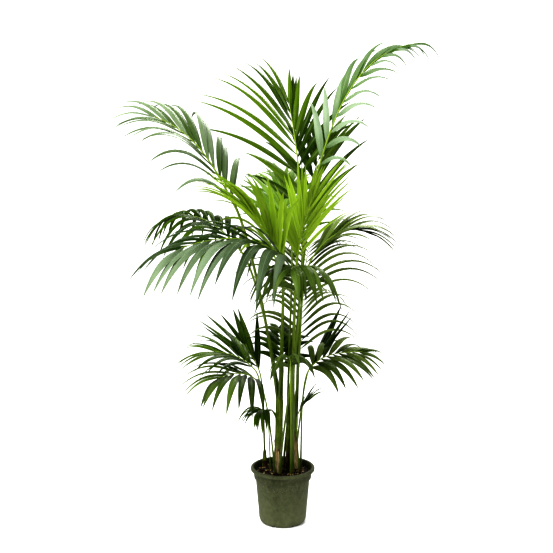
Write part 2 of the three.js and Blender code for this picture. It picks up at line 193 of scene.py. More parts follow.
# %% [markdown]
# ## Common nodes
# A few kinds of node come back in every material: the place on the surface, cloudy noise, a mix
# of two colours, the relief that a grey value gives and the closed surface that light bounces
# off. Each gets a short function. The noise reads the place in metres, so its scale says how
# many blotches go in a metre, and a stretched place turns blotches into streaks. In a sum that
# picks a colour, each weight says how much its cause counts, and the number taken away at the
# end sets the balance between the dark and the light colour.

# %% Material helpers
def new_material(name):
    material = bpy.data.materials.new(name)
    material.use_nodes = True
    material.node_tree.nodes.clear()
    return material, Flow(material.node_tree)


def surface_place(flow, stretch=(1, 1, 1)):
    place = flow.node("ShaderNodeTexCoord", {}, {}, output="Object")
    return flow.node("ShaderNodeMapping", {}, {"Vector": place, "Scale": stretch})


def height_of(flow, place):
    return flow.node("ShaderNodeSeparateXYZ", {}, {"Vector": place}, output="Z")


def cloudy(flow, place, scale, detail=4.0, roughness=0.55):
    inputs = {"Vector": place, "Scale": scale, "Detail": detail, "Roughness": roughness}
    return flow.node("ShaderNodeTexNoise", {}, inputs, output="Fac")


def blend_colours(flow, share, first, second):
    colours = [value if isinstance(value, Flow) else (*value, 1) for value in (first, second)]
    inputs = {"Factor": share, 6: colours[0], 7: colours[1]}
    return flow.node("ShaderNodeMix", {"data_type": "RGBA"}, inputs, output=2)


def mesh_value(flow, name):
    return flow.node("ShaderNodeAttribute", {"attribute_name": name}, {}, output="Fac")


def relief(flow, height, strength, distance):
    inputs = {"Height": height, "Strength": strength, "Distance": distance}
    return flow.node("ShaderNodeBump", {}, inputs, output="Normal")


def opaque(flow, colour, roughness, shine, normal, tint=(1, 1, 1)):
    return flow.node("ShaderNodeBsdfPrincipled", {}, {
        "Base Color": colour,
        "Roughness": roughness,
        "Specular IOR Level": shine,
        "Specular Tint": (*tint, 1),
        "Normal": normal,
    })


def finished(material, flow, shader):
    flow.node("ShaderNodeOutputMaterial", {}, {"Surface": shader})
    return material


# %% [markdown]
# ## Leaf, stalk and wood finishes
# A palm leaflet is waxy above and duller and paler beneath, with fine veins that run its whole
# length and a light midrib. The mesh carries four plain numbers for that: how far a point is
# from the midrib, whether it is on the underside, how much the bend there faces the sky, where
# a painted sheen makes it paler, and a tone for the whole leaflet. Young leaves let light
# through, so the shader is a mix of a waxy surface and a translucent one. Each shade has a dark
# and a light colour, the strength of the painted sheen on the bend, the glow of light from
# behind and the shine of its wax.

# %% Leaf shades
LEAF_SHADES = {
    "deep": dict(dark=(0.0075, 0.019, 0.0008), light=(0.058, 0.110, 0.003),
                 sheen=0.35, glow=0.12, shine=0.08),
    "green": dict(dark=(0.012, 0.030, 0.001), light=(0.088, 0.155, 0.004),
                  sheen=0.35, glow=0.16, shine=0.16),
    "lit": dict(dark=(0.034, 0.086, 0.001), light=(0.232, 0.294, 0.200),
                sheen=0.66, glow=0.14, shine=0.10),
    # The light colours of grey and silver are the leaf's green greyed by a painted sheen of the
    # sky.
    "grey": dict(dark=(0.009, 0.025, 0.001), light=(0.166, 0.218, 0.136),
                 sheen=0.56, glow=0.12, shine=0.18),
    "silver": dict(dark=(0.044, 0.080, 0.014), light=(0.205, 0.262, 0.165),
                   sheen=0.35, glow=0.14, shine=0.14),
    "moss": dict(dark=(0.004, 0.012, 0.0005), light=(0.128, 0.196, 0.038),
                 sheen=0.50, glow=0.14, shine=0.16),
    "olive": dict(dark=(0.022, 0.042, 0.002), light=(0.170, 0.230, 0.060),
                  sheen=0.50, glow=0.16, shine=0.16),
    "fresh": dict(dark=(0.022, 0.068, 0.001), light=(0.460, 0.660, 0.065),
                  sheen=0.65, glow=0.20, shine=0.08),
    "pale": dict(dark=(0.110, 0.210, 0.018), light=(0.320, 0.460, 0.110),
                 sheen=0.35, glow=0.36, shine=0.24),
}

# %% Leaf material
LEAF_VEINS = 4
LEAF_BLOTCHES = 22
MIDRIB_NARROWNESS = 9
WAX_TINT = (0.86, 1.0, 0.60)


def leaf_material(shade):
    material, flow = new_material(f"leaflet_{shade}")
    look = LEAF_SHADES[shade]
    across = mesh_value(flow, "across")
    under = mesh_value(flow, "under")
    tone = mesh_value(flow, "tone")
    sheen = mesh_value(flow, "sheen")
    blotches = cloudy(flow, surface_place(flow), LEAF_BLOTCHES)
    veins = (across * (2 * math.pi * LEAF_VEINS)).sine()
    # The painted sheen makes the bend of each leaflet paler where it faces the sky.
    share = (0.75 * tone + look["sheen"] * sheen + 0.4 * blotches + 0.14 * veins - 0.36).clamped()
    top = blend_colours(flow, share, look["dark"], look["light"])
    midrib = (1 - MIDRIB_NARROWNESS * across).clamped()
    pale = tuple(0.7 * value + 0.03 for value in look["light"])
    top = blend_colours(flow, 0.55 * midrib, top, pale)
    dull = tuple(0.5 * value + 0.012 for value in look["light"])
    waxy = opaque(
        flow,
        colour=blend_colours(flow, 0.6 * under, top, dull),
        roughness=0.32 + 0.16 * blotches + 0.14 * under,
        shine=look["shine"],
        normal=relief(flow, veins, strength=0.13, distance=0.0004),
        tint=WAX_TINT,
    )
    through = flow.node("ShaderNodeBsdfTranslucent", {}, {"Color": (*look["light"], 1)})
    leaf = flow.node("ShaderNodeMixShader", {}, {0: look["glow"], 1: waxy, 2: through})
    return finished(material, flow, leaf)


leaf_materials = {shade: leaf_material(shade) for shade in LEAF_SHADES}
print("leaf shades", ", ".join(leaf_materials))

# %% [markdown]
# Stalks are smooth and faintly streaked along their length. They are brown and fibrous where
# they leave the soil or the stem, clear green for most of their height and yellow green in the
# rib. The mesh carries the height up the limb as a number from 0 to 1, and a second number
# that says how dry the limb is near its foot, where old sheath still wraps it.

# %% Stalk material
STALK_LOW = (0.036, 0.060, 0.004)
STALK_HIGH = (0.200, 0.295, 0.016)
STALK_STREAKS = 210
STALK_STRETCH = (1, 1, 0.05)
STALK_BLOTCHES = 28
SHEATH_BROWN = (0.120, 0.075, 0.030)


def stalk_material():
    material, flow = new_material("leaf_stalk")
    height = mesh_value(flow, "height")
    dry = mesh_value(flow, "dry")
    streaks = cloudy(flow, surface_place(flow, STALK_STRETCH), STALK_STREAKS, detail=3)
    blotches = cloudy(flow, surface_place(flow), STALK_BLOTCHES)
    share = (height * 0.9 + 0.7 * streaks + 0.35 * blotches - 0.5).clamped()
    green = blend_colours(flow, share, STALK_LOW, STALK_HIGH)
    patch = (dry * 1.5 + 0.9 * streaks - 0.75).clamped() * dry
    smooth = opaque(
        flow,
        colour=blend_colours(flow, patch, green, SHEATH_BROWN),
        roughness=0.34 + 0.2 * blotches + 0.2 * dry,
        shine=0.28,
        normal=relief(flow, streaks, strength=0.25, distance=0.0006),
    )
    return finished(material, flow, smooth)


stalk_finish = stalk_material()
print("stalk finish", stalk_finish.name)

# %% [markdown]
# ## Growing a mesh
# Every part of the plant is a row of rings joined side to side: a stalk, a rib and even a
# leaflet, whose ring is a thin roof shape. One function joins the rings, closes the two ends
# and collects many such limbs into one mesh, with the plain numbers that the materials read.

# %% Ring meshes
MM = 0.001
UP = np.array([0.0, 0.0, 1.0])
SMOOTH_BELOW = math.radians(38)


def unit(vector):
    return vector / np.linalg.norm(vector, axis=-1, keepdims=True)


def ring_angles(sides):
    return np.arange(sides) / sides * 2 * np.pi


def outward(angles):
    return np.stack([np.cos(angles), np.sin(angles), np.zeros(len(angles))], 1)


class RingMesh:
    """Collects closed limbs made of rings, and the numbers that go with each corner."""

    def __init__(self):
        self.points = []
        self.faces = []
        self.values = {}
        self.count = 0

    def add(self, rings, tip=None, **values):
        """rings: array of rings, sides, xyz. values: one number, or one for each ring corner."""
        ring_count, sides = rings.shape[:2]
        flat = rings.reshape(-1, 3)
        start = self.count
        for ring in range(ring_count - 1):
            low = start + ring * sides
            high = low + sides
            for side in range(sides):
                after = (side + 1) % sides
                self.faces.append((low + side, low + after, high + after, high + side))
        self.faces.append(tuple(start + side for side in reversed(range(sides))))
        last = start + (ring_count - 1) * sides
        if tip is None:
            self.faces.append(tuple(last + side for side in range(sides)))
        else:
            flat = np.vstack([flat, tip])
            for side in range(sides):
                self.faces.append((last + side, last + (side + 1) % sides, start + len(flat) - 1))
        self.points.append(flat)
        for name, value in values.items():
            spread = np.broadcast_to(value, (ring_count, sides)).reshape(-1)
            at_tip = np.full(len(flat) - len(spread), spread[-1])
            self.values.setdefault(name, []).append(np.concatenate([spread, at_tip]))
        self.count += len(flat)

    def mesh(self, name):
        made = bpy.data.meshes.new(name)
        made.from_pydata((np.vstack(self.points) * MM).tolist(), [], self.faces)
        return made

    def piece(self, name, material, replaced=()):
        mesh = self.mesh(name)
        for value_name, parts in self.values.items():
            attribute = mesh.attributes.new(value_name, "FLOAT", "POINT")
            attribute.data.foreach_set("value", np.concatenate(parts).astype(np.float32))
        finish_piece(name, mesh, material, replaced)


def finish_piece(name, mesh, material, replaced=()):
    mesh.validate()
    mesh.materials.append(material)
    mesh.shade_smooth()
    mesh.set_sharp_from_angle(angle=SMOOTH_BELOW)
    made = placed(name, mesh)
    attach(made, "root")
    if replaced:
        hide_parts(*replaced)
    triangles = sum(len(polygon.vertices) - 2 for polygon in mesh.polygons)
    print(name, triangles, "triangles")


# %% [markdown]
# ## The plan of the clump
# These follow the named sizes that the solids are cut from, with more leaflets to a frond and a
# few values closer to the photograph. A stem is a short upright taper from its foot to its top,
# with the radius of its base and of its head. A frond stands on the soil at its `foot`, or on
# the head of a `stem` at one `side`, in degrees. Its stalk, of the radius `stalk`, runs to the
# `neck`, and its rib from there to the `tip`. The rib slopes by `rise` degrees at the neck and
# by `dip` degrees at the tip.
#
# Each side has as many leaflets as `pairs` says, the longest of them as long as `reach` and as
# wide as `width`. They leave the rib at the first angle of `spread` near the neck and at the
# second near the tip, raised by `lift` degrees, and bend down by `sag`. `roll` turns the feather
# about its rib, and `skew` closes its right side and opens its left, looking from the neck to
# the tip.
#
# The rest are habits of single fronds. `trim` shortens the right side and `stiff` holds the
# left side up. `slim` narrows, `shaded` darkens and `slump` lets the lowest leaflets hang, each
# with one value for the right side and one for the left. `hook` bends the last leaflets down,
# and `pale_lowest` paints the lowest ones paler. `shade` names the finish.

# %% Stems
SOIL_LEVEL = 190
SEAT_GAP = 0.3
STEMS = {
    "stem_front": dict(foot=(-17, -5), top=(-12, 0, 470), base=14, head=15),
    "stem_right": dict(foot=(24, 35), top=(25, 38, 400), base=12, head=13),
    "stem_side": dict(foot=(51, 38), top=(49, 40, 345), base=8.5, head=10),
    "stem_back_left": dict(foot=(-67, 60), top=(-68, 60, 240), base=9, head=8.5),
}
print("stems", ", ".join(STEMS))

# %% High and left fronds
FRONDS = {
    "top_right": dict(
        stem="stem_right", side=-30, neck=(125, 40, 1300), tip=(486, 110, 1778),
        rise=74, dip=10, stalk=5, pairs=11, reach=285, width=30,
        spread=(38, 2), lift=4, sag=1.1, roll=-46, trim=0.35, skew=-12,
        stiff=0.3, hook=1.6, pale_lowest=0.6, shaded=(0, 0.35), shade="lit",
    ),
    "top_centre": dict(
        stem="stem_right", side=60, neck=(62, 98, 1268), tip=(26, 235, 1572),
        rise=80, dip=62, stalk=5, pairs=9, reach=500, width=26,
        spread=(47, 8), lift=10, sag=0.45, roll=12, skew=8, trim=0.3, shade="green",
    ),
    "back_right": dict(
        stem="stem_side", side=90, neck=(81, 110, 1110), tip=(165, 250, 1420),
        rise=80, dip=50, stalk=4, pairs=7, reach=360, width=38,
        spread=(52, 12), lift=12, sag=0.4, skew=8, shade="green",
    ),
    "upper_left": dict(
        stem="stem_front", side=180, neck=(-172, -40, 1187), tip=(-450, -90, 1500),
        rise=62, dip=20, stalk=6, pairs=11, reach=350, width=37,
        spread=(46, 16), lift=5, sag=0.9, roll=38, skew=-4, slim=(1, 0.66), shade="silver",
    ),
    "mid_left": dict(
        stem="stem_front", side=90, neck=(-148, 60, 1005), tip=(-430, 150, 1130),
        rise=52, dip=-22, stalk=5, pairs=11, reach=330, width=30,
        spread=(58, 28), lift=10, sag=2.1, roll=10, shade="deep",
    ),
    "front_left": dict(
        foot=(-10, -30), neck=(45, -95, 945), tip=(-335, -325, 1060),
        rise=58, dip=-16, stalk=4, pairs=10, reach=420, width=42,
        spread=(48, 16), lift=5, sag=1.2, roll=20, slump=(1.4, 1.4),
        slim=(0.7, 1), shaded=(0.6, 0), shade="grey",
    ),
    "front_centre": dict(
        stem="stem_side", side=230, neck=(67, -58, 870), tip=(26, -285, 985),
        rise=64, dip=-10, stalk=3.5, pairs=9, reach=290, width=38,
        spread=(60, 22), lift=5, sag=2.2, skew=-6, slump=(0.8, 0.8), shade="moss",
    ),
}
print("high and left fronds", len(FRONDS))

# %% [markdown]
# The heart of the clump is a fan of young bright fronds that still stand upright. Older ones
# arch out behind it and to the right.

# %% Young fan and middle fronds
FRONDS.update({
    "bright_left": dict(
        stem="stem_front", side=270, neck=(-4, -60, 962), tip=(-128, -160, 1200),
        rise=78, dip=50, stalk=5, pairs=13, reach=370, width=25,
        spread=(40, 8), lift=12, sag=0.6, skew=-14, slump=(0.8, 0), shade="fresh",
    ),
    "pale_back": dict(
        stem="stem_front", side=0, neck=(5, 70, 1050), tip=(0, 210, 1265),
        rise=80, dip=50, stalk=4.5, pairs=9, reach=260, width=26,
        spread=(44, 12), lift=12, sag=0.5, shade="pale",
    ),
    "bright_right": dict(
        foot=(37, -5), neck=(50, -70, 990), tip=(105, -150, 1225),
        rise=80, dip=55, stalk=6, pairs=12, reach=320, width=22,
        spread=(42, 8), lift=12, sag=0.3, skew=10, trim=0.15, shade="fresh",
    ),
    "mid_right": dict(
        stem="stem_side", side=340, neck=(104, 10, 987), tip=(305, 70, 1088),
        rise=58, dip=-20, stalk=4, pairs=10, reach=340, width=30,
        spread=(24, 8), lift=4, sag=0.9, roll=-8, trim=0.25, shade="olive",
    ),
    "low_right_up": dict(
        foot=(50, 72), neck=(100, 80, 560), tip=(134, 94, 614),
        rise=66, dip=62, stalk=3.5, pairs=2, reach=290, width=44,
        spread=(16, 5), lift=5, sag=0.1, shade="deep",
    ),
    "back_mid": dict(
        foot=(4, 68), neck=(75, 135, 803), tip=(112, 340, 1020),
        rise=64, dip=20, stalk=4, pairs=11, reach=420, width=19,
        spread=(56, 30), lift=10, sag=1.3, shade="olive",
    ),
    "back_low": dict(
        foot=(24, 78), neck=(66, 90, 620), tip=(88, 300, 838),
        rise=64, dip=20, stalk=3.5, pairs=10, reach=350, width=19,
        spread=(52, 28), lift=10, sag=1.5, shade="olive",
    ),
    "back_high": dict(
        stem="stem_right", side=150, neck=(35, 120, 1010), tip=(10, 330, 1290),
        rise=72, dip=25, stalk=4.5, pairs=10, reach=300, width=22,
        spread=(48, 18), lift=10, sag=0.8, shade="pale",
    ),
    "back_left": dict(
        foot=(-32, 62), neck=(2, 108, 560), tip=(-14, 250, 690),
        rise=70, dip=25, stalk=4, pairs=8, reach=175, width=32,
        spread=(56, 22), lift=12, sag=0.9, shade="deep",
    ),
})
print("with the middle", len(FRONDS))

# %% [markdown]
# Near the soil the clump has a skirt of short dark fronds from its smallest palms.

# %% Low fronds
FRONDS.update({
    "low_left_up": dict(
        stem="stem_back_left", side=90, neck=(-86, 74, 550), tip=(-142, 140, 650),
        rise=64, dip=60, stalk=3.5, pairs=4, reach=290, width=34,
        spread=(34, 14), lift=5, sag=0.1, skew=14, shade="deep",
    ),
    "low_left": dict(
        stem="stem_back_left", side=270, neck=(-104, 18, 575), tip=(-252, 12, 645),
        rise=48, dip=6, stalk=3.5, pairs=9, reach=290, width=24,
        spread=(58, 20), lift=10, sag=0.7, roll=10, shade="green",
    ),
    "low_left_front": dict(
        foot=(-29, -27), neck=(-84, -56, 540), tip=(-224, -172, 590),
        rise=50, dip=-8, stalk=3.5, pairs=7, reach=285, width=32,
        spread=(62, 20), lift=5, sag=1.05, roll=10, slump=(0.9, 0.9), shade="moss",
    ),
    "low_right": dict(
        foot=(68, 24), neck=(98, 20, 574), tip=(300, 40, 640),
        rise=55, dip=2, stalk=3.5, pairs=9, reach=215, width=32,
        spread=(66, 20), lift=2, sag=1.0, roll=-24, slump=(0.9, 0.2), shade="olive",
    ),
    "low_front": dict(
        foot=(30, -42), neck=(28, -76, 600), tip=(24, -124, 655),
        rise=76, dip=40, stalk=3, pairs=3, reach=150, width=34,
        spread=(78, 36), lift=24, sag=3.4, shade="moss",
    ),
    "small_left": dict(
        foot=(-46, 20), neck=(-60, 10, 412), tip=(-92, -28, 428),
        rise=66, dip=-10, stalk=2.6, pairs=7, reach=150, width=18,
        spread=(62, 24), lift=5, sag=2.3, shade="green",
    ),
    "small_right": dict(
        foot=(62, 0), neck=(56, 2, 405), tip=(92, -8, 464),
        rise=70, dip=42, stalk=2.6, pairs=3, reach=150, width=26,
        spread=(30, 8), lift=5, sag=0.6, shade="moss",
    ),
})
print("fronds in all", len(FRONDS))

# %% [markdown]
# ## Curves
# A stalk leaves the soil nearly upright and leans out. The rib carries on from it and arches
# over. Both are cubic curves with two handles, which is the shortest way to say where a limb
# starts, where it ends and in which directions.

# %% The curves of a frond
RIB_HANDLES = 0.38
STALK_LOW_HANDLE = 0.33
STALK_HIGH_HANDLE = 0.15
STALK_LEAN = 0.5
HEAD_INSET = 1.2


def mix(low, high, share):
    return low + (high - low) * share


def curve_point(curve, share):
    share = np.asarray(share, float)[..., None]
    a, b, c, d = curve
    return ((1 - share) ** 3 * a + 3 * (1 - share) ** 2 * share * b
            + 3 * (1 - share) * share ** 2 * c + share ** 3 * d)


def curve_heading(curve, share):
    share = np.asarray(share, float)[..., None]
    a, b, c, d = curve
    return unit((1 - share) ** 2 * (b - a) + 2 * (1 - share) * share * (c - b)
                + share ** 2 * (d - c))


def level_heading(start, end):
    return unit((end - start) * [1, 1, 0])


def pitched(heading, angle):
    return heading * math.cos(math.radians(angle)) + UP * math.sin(math.radians(angle))


def stalk_foot(frond):
    if "foot" in frond:
        return np.array([*frond["foot"], SOIL_LEVEL + SEAT_GAP], float)
    stem = STEMS[frond["stem"]]
    ring = stem["head"] - frond["stalk"] - HEAD_INSET
    angle = math.radians(frond["side"])
    offset = np.array([ring * math.cos(angle), ring * math.sin(angle), SEAT_GAP])
    return np.array(stem["top"], float) + offset


def frond_curves(frond):
    """The four points of the rib's curve and of the stalk's."""
    neck = np.array(frond["neck"], float)
    tip = np.array(frond["tip"], float)
    heading = level_heading(neck, tip)
    start = pitched(heading, frond["rise"])
    end = pitched(heading, frond["dip"])
    pull = RIB_HANDLES * np.linalg.norm(tip - neck)
    rib = (neck, neck + start * pull, tip - end * pull, tip)
    foot = stalk_foot(frond)
    height = neck[2] - foot[2]
    leave = unit((neck - foot) * [1, 1, 0] * STALK_LEAN / height + UP)
    seat = neck - start * SEAT_GAP
    low_handle = foot + leave * height * STALK_LOW_HANDLE
    high_handle = seat - start * height * STALK_HIGH_HANDLE
    return rib, (foot, low_handle, high_handle, seat)


curves = {name: frond_curves(frond) for name, frond in FRONDS.items()}
print("fronds", len(curves), "highest tip", max(frond["tip"][2] for frond in FRONDS.values()))

# %% [markdown]
# ## Stalks and ribs
# On the plant the stalk and the rib are one limb, so here they are one mesh from foot to tip.
# It is round beneath and has a shallow channel on its upper face. It widens where it comes out
# of the soil, and it thins to a point as the last leaflets leave it. Its rings stand closer
# together near the foot, where it changes most. A hair's breadth is added to the direction
# across it, so that a limb that runs straight back doesn't divide by zero.

# %% Limbs
LIMB_SIDES = 14
STALK_RINGS = 34
RIB_RINGS = 26
RING_CROWDING = 1.4
NECK_SHARE = 0.8
RIB_TAPER = 0.85
RIB_TIP_RADIUS = 1.1
CHANNEL_DEPTH = 0.2
CHANNEL_WIDTH = 0.45
CHANNEL_START = 200
FOOT_WIDENING = 0.6
FOOT_HEIGHT = 30
DRY_ON_SOIL = 0.55
DRY_ON_STEM = 0.35
DRY_START = 1.3
DRY_HEIGHT = 34
NO_ZERO = 1e-9


def limb_rings(centres, headings, radii, channel):
    across = unit(np.cross([0, 1, 0], headings) + NO_ZERO)
    over = np.cross(headings, across)
    angles = ring_angles(LIMB_SIDES)
    cosine = np.cos(angles)[None, :, None]
    sine = np.sin(angles)[None, :, None]
    groove = 1 - channel[:, None] * np.exp(-((angles - np.pi / 2) / CHANNEL_WIDTH) ** 2)[None, :]
    size = (radii[:, None] * groove)[..., None]
    return centres[:, None] + size * (cosine * across[:, None] + sine * over[:, None])


def add_limb(collected, frond, rib, stalk):
    share_up = np.linspace(0, 1, STALK_RINGS) ** RING_CROWDING
    share_out = np.linspace(0, 1, RIB_RINGS)[1:]
    centres = np.vstack([curve_point(stalk, share_up), curve_point(rib, share_out)])
    headings = np.vstack([curve_heading(stalk, share_up), curve_heading(rib, share_out)])
    steps = np.linalg.norm(np.diff(centres, axis=0), axis=1)
    travelled = np.concatenate([[0], np.cumsum(steps)])
    radii = np.concatenate([
        frond["stalk"] * mix(1, NECK_SHARE, share_up),
        mix(frond["stalk"] * NECK_SHARE, RIB_TIP_RADIUS, share_out ** RIB_TAPER),
    ])
    widening = FOOT_WIDENING if "foot" in frond else 0
    radii = radii * (1 + widening * np.exp(-travelled / FOOT_HEIGHT))
    channel = CHANNEL_DEPTH * np.clip(travelled / CHANNEL_START, 0, 1)
    height = np.broadcast_to((travelled / travelled[-1])[:, None], (len(radii), LIMB_SIDES))
    dryness = DRY_ON_SOIL if "foot" in frond else DRY_ON_STEM
    dry = dryness * np.clip(DRY_START - travelled / DRY_HEIGHT, 0, 1)[:, None]
    collected.add(limb_rings(centres, headings, radii, channel), height=height, dry=dry)


limbs = RingMesh()
for name, frond in FRONDS.items():
    add_limb(limbs, frond, *curves[name])
limbs.piece("stalks_and_ribs", stalk_finish, [f"stalk_{name}" for name in FRONDS])

# %% [markdown]
# ## Leaflets
# A leaflet leaves the rib at an angle that closes towards the tip. It first holds its plane,
# then bends down under its own weight and turns flat. Across, it is a shallow roof with the
# midrib as its ridge. Each one is a thin closed blade, so it has an upper and a lower face, and
# a little seeded unevenness keeps the rows from looking combed.
#
# Three things are settled first along a leaflet: how wide it is, how it bends, and how strong
# the painted sheen is that makes the bend paler where it faces the sky. The sheen is nil at the
# foot, so the foot by the rib stays darker as painted shade.

# %% Along a leaflet
LEAFLET_RINGS = 15
LAST_RING = 0.965
LEAFLET_STEPS = np.linspace(0, LAST_RING, LEAFLET_RINGS)
# Painted sheen along a leaflet: none at the rib, most at the bend that faces the sky, little at
# the tip.
PAINTED_SHEEN_MOST = 0.72
PAINTED_SHEEN_END = 0.94
PAINTED_SHEEN_DELAY = 1.3
LEAFLET_PAINTED_SHEEN = PAINTED_SHEEN_MOST * np.sin(PAINTED_SHEEN_END * np.pi * LEAFLET_STEPS ** PAINTED_SHEEN_DELAY)
WIDEST = 0.36
FOOT_WIDTH = 0.13
FOOT_FULLNESS = 2.3
POINT_FULLNESS = 1.55
BEND_START = 0.16
BEND_LENGTH = 0.67
BEND_MOST = 1.15
BEND_GROWTH = 1.2
FINE_STEPS = 60


def width_profile(share):
    widening = 1 - (1 - np.minimum(1, share / WIDEST)) ** FOOT_FULLNESS
    narrowing = 1 - np.clip((share - WIDEST) / (1 - WIDEST), 0, 1) ** POINT_FULLNESS
    return mix(FOOT_WIDTH, 1, widening) * narrowing


def leaflet_path(away, sag, length):
    """Points along the midrib from the rib outwards, and how far along each one is."""
    fine = np.linspace(0, 1, FINE_STEPS + 1)
    middle = (fine[:-1] + fine[1:]) / 2
    bend = sag * np.clip((middle - BEND_START) / BEND_LENGTH, 0, BEND_MOST) ** BEND_GROWTH
    steps = unit(away - bend[:, None] * UP) * length / FINE_STEPS
    return fine, np.vstack([[0, 0, 0], np.cumsum(steps, axis=0)])


def points_along(fine, spots, share):
    return np.stack([np.interp(share, fine, spots[:, axis]) for axis in range(3)], 1)


print("palest bend of a leaflet", round(LEAFLET_PAINTED_SHEEN.max(), 2))

# %% [markdown]
# A leaflet's direction comes from the rib's own direction, the plane of the feather and the
# angles of the frond. Its blade first lies in that plane, so the twist that brings it there
# from the level is worked out here. Lengths are greatest about a third of the way up the rib.
# `hand` is 1 on the right side of the rib and -1 on the left, and `share` runs from 0 at the
# neck to 1 at the tip.

# %% How a leaflet leaves the rib
UNEVEN_SPREAD = 2
UNEVEN_LIFT = 3.5
UNEVEN_TWIST = 0.13
CLOSING = 0.9
LEAST_LENGTH = 0.6
LEAST_WIDTH = 0.55
SWELL_START = 0.12
SWELL_PACE = 0.95
SWELL_SHIFT = 0.8
CHANCE_LENGTH = (0.93, 1.0)
CHANCE_WIDTH = (0.82, 1.0)
CHANCE_SAG = (0.85, 1.15)
SLUMP_END = 0.35
HOOK_START = 0.6
SHADE_START = 0.3


def for_hand(frond, habit, hand, plain):
    right, left = frond.get(habit, (plain, plain))
    return right if hand > 0 else left


def leaflet_direction(frond, rib, share, hand, random):
    along = curve_heading(rib, share)
    level = unit(np.cross(level_heading(rib[0], rib[3]), UP))
    face = unit(np.cross(level, along))
    roll = math.radians(frond.get("roll", 0))
    aside = level * math.cos(roll) + face * math.sin(roll)
    over = unit(np.cross(aside, along))
    close = hand * frond.get("skew", 0)
    wide, narrow = frond["spread"]
    open_angle = mix(wide - close, narrow - close / 2, share ** CLOSING)
    spread = math.radians(open_angle + random.normal(0, UNEVEN_SPREAD))
    lift = math.radians(frond["lift"] + random.normal(0, UNEVEN_LIFT))
    swing = aside * hand * math.cos(lift) + over * math.sin(lift)
    away = along * math.cos(spread) + swing * math.sin(spread)
    edge = along * math.sin(spread) - swing * math.cos(spread)
    flat = unit(np.cross(away, UP))
    flat = flat * np.sign(flat @ edge)
    twist = math.atan2(edge @ np.cross(flat, away), edge @ flat)
    return away, flat, twist + random.normal(0, UNEVEN_TWIST)


def leaflet_sizes(frond, share, hand, random):
    phase = min(1, SWELL_START + share * SWELL_PACE) ** SWELL_SHIFT
    swell = mix(LEAST_LENGTH, 1, math.sin(math.pi * phase))
    kept = 1 - frond.get("trim", 0) if hand > 0 else 1
    length = frond["reach"] * swell * kept * random.uniform(*CHANCE_LENGTH)
    width = frond["width"] * mix(LEAST_WIDTH, 1, swell) * random.uniform(*CHANCE_WIDTH)
    sag = frond["sag"] * random.uniform(*CHANCE_SAG)
    if hand < 0:
        sag = sag * (1 - frond.get("stiff", 0))
    sag = sag + for_hand(frond, "slump", hand, 0) * max(0, 1 - share / SLUMP_END)
    sag = sag + frond.get("hook", 0) * max(0, share - HOOK_START) / (1 - HOOK_START)
    return length, width * for_hand(frond, "slim", hand, 1), sag


print("longest leaflet", max(frond["reach"] for frond in FRONDS.values()), "mm")

# %% [markdown]
# The ring of a leaflet has eight corners: five on the upper face, from edge to edge over the
# ridge, and three beneath. A left leaflet is the mirror image of a right one, so its rings run
# the other way round, which keeps its faces outward.

# %% The blade of a leaflet
BLADE_THICKNESS = 0.5
BLADE_THINNING = 0.5
RIDGE_HEIGHT = 0.8
RIDGE_SINKING = 0.7
FOLD_AT_FOOT = 0.5
FOLD_AT_POINT = 0.26
FOLD_OPENING = 2.2
MIDWAY_FOLD = 0.4
LOOK_AHEAD = 0.02
UNTWIST = 0.5
UNTWIST_LENGTH = 0.66
ACROSS = np.array([1, 0.5, 0, 0.5, 1, 0.5, 0, 0.5])
UNDER = np.array([0, 0, 0, 0, 0, 1, 1, 1])


def blade_rings(places, flank, back, width):
    half = width_profile(LEAFLET_STEPS)[:, None] * width / 2
    opening = np.clip(LEAFLET_STEPS * FOLD_OPENING, 0, 1)[:, None]
    fold = half * mix(FOLD_AT_FOOT, FOLD_AT_POINT, opening)
    ridge = RIDGE_HEIGHT * (1 - RIDGE_SINKING * LEAFLET_STEPS)[:, None]
    thick = BLADE_THICKNESS * (1 - BLADE_THINNING * LEAFLET_STEPS)[:, None]
    left_middle = places + flank * half * 0.5 - back * fold * MIDWAY_FOLD
    right_middle = places - flank * half * 0.5 - back * fold * MIDWAY_FOLD
    return np.stack([
        places + flank * half - back * fold,
        left_middle,
        places + back * ridge,
        right_middle,
        places - flank * half - back * fold,
        right_middle - back * thick,
        places - back * thick,
        left_middle - back * thick,
    ], axis=1)


def leaflet_colours(frond, share, hand, random):
    """The tone of a whole leaflet, and the painted sheen of its bend at each ring."""
    shaded = for_hand(frond, "shaded", hand, 0) if share > SHADE_START else 0
    # The lowest leaflets of some fronds are painted paler.
    pale_lowest = frond.get("pale_lowest", 0) * (1 - share)
    tone = min(1, random.uniform(0, 1) * (1 - pale_lowest) + pale_lowest) * (1 - shaded)
    return tone, LEAFLET_PAINTED_SHEEN[:, None] * (1 - shaded)


def add_leaflet(collected, frond, rib, share, hand, random):
    away, flat, twist = leaflet_direction(frond, rib, share, hand, random)
    length, width, sag = leaflet_sizes(frond, share, hand, random)
    tone, sheen = leaflet_colours(frond, share, hand, random)
    root = curve_point(rib, share)
    fine, spots = leaflet_path(away, sag, length)
    places = points_along(fine, spots, LEAFLET_STEPS)
    headings = unit(points_along(fine, spots, LEAFLET_STEPS + LOOK_AHEAD) - places)
    untwisting = np.clip(LEAFLET_STEPS / UNTWIST_LENGTH, 0, 1)
    turn = twist * (1 - UNTWIST * min(1, frond["sag"]) * untwisting)
    flank = flat * np.cos(turn)[:, None] + np.cross(flat, headings) * np.sin(turn)[:, None]
    back = np.cross(flank, headings) * -hand
    rings = blade_rings(places + root, flank, back, width)[:, ::hand]
    collected.add(rings, root + spots[-1], across=ACROSS[::hand], under=UNDER[::hand],
                  sheen=sheen, tone=tone)


print("corners of a leaflet", LEAFLET_RINGS * len(ACROSS) + 1)

